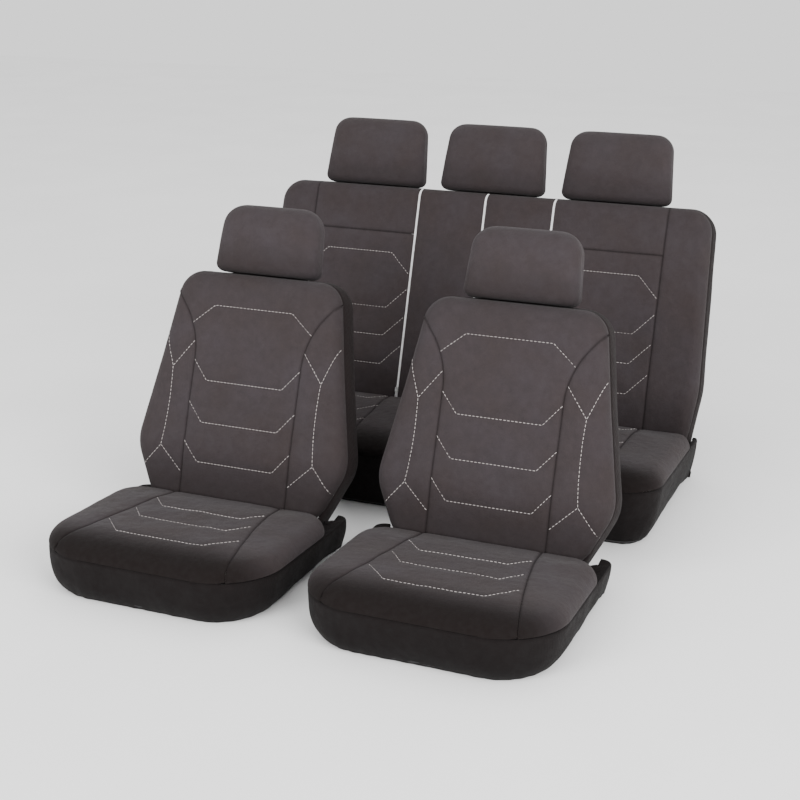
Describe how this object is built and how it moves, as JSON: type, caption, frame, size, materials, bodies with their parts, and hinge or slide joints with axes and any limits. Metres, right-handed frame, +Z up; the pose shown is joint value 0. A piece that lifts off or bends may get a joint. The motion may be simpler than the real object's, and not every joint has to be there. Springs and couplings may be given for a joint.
{
  "type": "car seat cover set",
  "caption": "Fitted cloth covers for two front car seats and a rear bench, with headrest covers, stitched panels, zipped rear backrest and elastic hems.",
  "frame": {"origin": "middle of the set's floor area, level with the hems", "axes": "+Z up, seats face -Y, +X to the right of someone looking at the front of the set"},
  "size_m": [1.324, 1.5472, 0.8908],
  "materials": {
    "face_velour": "brushed suede-like velour",
    "black_knit": "plain black knitted polyester",
    "zip": "woven white zip tape with nylon coil teeth",
    "zip_metal": "nickel-plated zinc slider and pull tab",
    "elastic": "ribbed black elastic tape",
    "webbing": "black polypropylene webbing",
    "buckle": "black moulded acetal"
  },
  "bodies": {
    "rear_base": {"rear_cushion_centre_panel": "face_velour", "rear_cushion_left_insert": "face_velour", "rear_cushion_right_insert": "face_velour", "rear_cushion_left_bolster": "face_velour", "rear_cushion_right_bolster": "face_velour", "rear_cushion_skirt": "black_knit", "rear_hem_elastic": "elastic", "rear_tuck_flap": "black_knit"},
    "rear_back": {"rear_left_outer_panel": "face_velour", "rear_left_yoke_panel": "face_velour", "rear_left_main_panel": "face_velour", "rear_centre_left_panel": "face_velour", "rear_left_boxing": "black_knit", "rear_left_back_panel": "black_knit", "rear_right_outer_panel": "face_velour", "rear_right_yoke_panel": "face_velour", "rear_right_main_panel": "face_velour", "rear_centre_right_panel": "face_velour", "rear_right_boxing": "black_knit", "rear_right_back_panel": "black_knit", "rear_left_zip": "zip", "rear_middle_zip": "zip", "rear_right_zip": "zip"},
    "rear_left_zip_slider": {"rear_left_zip_slider": "zip_metal"},
    "rear_middle_zip_slider": {"rear_middle_zip_slider": "zip_metal"},
    "rear_right_zip_slider": {"rear_right_zip_slider": "zip_metal"},
    "rear_left_headrest": {"rear_left_headrest_cover": "face_velour"},
    "rear_middle_headrest": {"rear_middle_headrest_cover": "face_velour"},
    "rear_right_headrest": {"rear_right_headrest_cover": "face_velour"},
    "front_left_base": {"front_left_cushion_centre_panel": "face_velour", "front_left_cushion_left_bolster": "face_velour", "front_left_cushion_right_bolster": "face_velour", "front_left_cushion_skirt": "black_knit", "front_left_hem_elastic": "elastic", "front_left_tuck_flap": "black_knit", "front_left_under_strap": "webbing", "front_left_buckle_socket": "buckle"},
    "front_left_back": {"front_left_backrest_centre_panel": "face_velour", "front_left_backrest_left_bolster": "face_velour", "front_left_backrest_right_bolster": "face_velour", "front_left_backrest_boxing": "black_knit", "front_left_backrest_back_panel": "black_knit"},
    "front_left_headrest": {"front_left_headrest_cover": "face_velour"},
    "front_left_buckle_tongue": {"front_left_buckle_tongue": "buckle"},
    "front_right_base": {"front_right_cushion_centre_panel": "face_velour", "front_right_cushion_left_bolster": "face_velour", "front_right_cushion_right_bolster": "face_velour", "front_right_cushion_skirt": "black_knit", "front_right_hem_elastic": "elastic", "front_right_tuck_flap": "black_knit", "front_right_under_strap": "webbing", "front_right_buckle_socket": "buckle"},
    "front_right_back": {"front_right_backrest_centre_panel": "face_velour", "front_right_backrest_left_bolster": "face_velour", "front_right_backrest_right_bolster": "face_velour", "front_right_backrest_boxing": "black_knit", "front_right_backrest_back_panel": "black_knit"},
    "front_right_headrest": {"front_right_headrest_cover": "face_velour"},
    "front_right_buckle_tongue": {"front_right_buckle_tongue": "buckle"}
  },
  "joints": [
    {"name": "rear_back_fold", "type": "hinge", "parent": "rear_base", "child": "rear_back", "pos_m": [0, 0.49586, 0.129], "axis": [1, 0, 0], "range_deg": [0, 36]},
    {"name": "rear_left_zip_run", "type": "slide", "parent": "rear_back", "child": "rear_left_zip_slider", "axis": [0, 0.309, 0.9511], "range_m": [0, 0.54]},
    {"name": "rear_middle_zip_run", "type": "slide", "parent": "rear_back", "child": "rear_middle_zip_slider", "axis": [0, 0.309, 0.9511], "range_m": [0, 0.54]},
    {"name": "rear_right_zip_run", "type": "slide", "parent": "rear_back", "child": "rear_right_zip_slider", "axis": [0, 0.309, 0.9511], "range_m": [0, 0.54]},
    {"name": "rear_left_headrest_lift", "type": "slide", "parent": "rear_back", "child": "rear_left_headrest", "axis": [0, 0.309, 0.9511], "range_m": [0, 0.06]},
    {"name": "rear_middle_headrest_lift", "type": "slide", "parent": "rear_back", "child": "rear_middle_headrest", "axis": [0, 0.309, 0.9511], "range_m": [0, 0.06]},
    {"name": "rear_right_headrest_lift", "type": "slide", "parent": "rear_back", "child": "rear_right_headrest", "axis": [0, 0.309, 0.9511], "range_m": [0, 0.06]},
    {"name": "front_left_track", "type": "slide", "parent": "rear_base", "child": "front_left_base", "axis": [0, -1, 0], "range_m": [-0.02, 0.2]},
    {"name": "front_left_recline", "type": "hinge", "parent": "front_left_base", "child": "front_left_back", "pos_m": [-0.33, -0.27076, 0.08719], "axis": [1, 0, 0], "range_deg": [-25, 30]},
    {"name": "front_left_headrest_lift", "type": "slide", "parent": "front_left_back", "child": "front_left_headrest", "axis": [0, 0.342, 0.9397], "range_m": [0, 0.06]},
    {"name": "front_left_buckle_release", "type": "slide", "parent": "front_left_base", "child": "front_left_buckle_tongue", "axis": [0, 1, 0], "range_m": [0, 0.034]},
    {"name": "front_right_track", "type": "slide", "parent": "rear_base", "child": "front_right_base", "axis": [0, -1, 0], "range_m": [-0.02, 0.2]},
    {"name": "front_right_recline", "type": "hinge", "parent": "front_right_base", "child": "front_right_back", "pos_m": [0.33, -0.27076, 0.08719], "axis": [1, 0, 0], "range_deg": [-25, 30]},
    {"name": "front_right_headrest_lift", "type": "slide", "parent": "front_right_back", "child": "front_right_headrest", "axis": [0, 0.342, 0.9397], "range_m": [0, 0.06]},
    {"name": "front_right_buckle_release", "type": "slide", "parent": "front_right_base", "child": "front_right_buckle_tongue", "axis": [0, 1, 0], "range_m": [0, 0.034]}
  ]
}
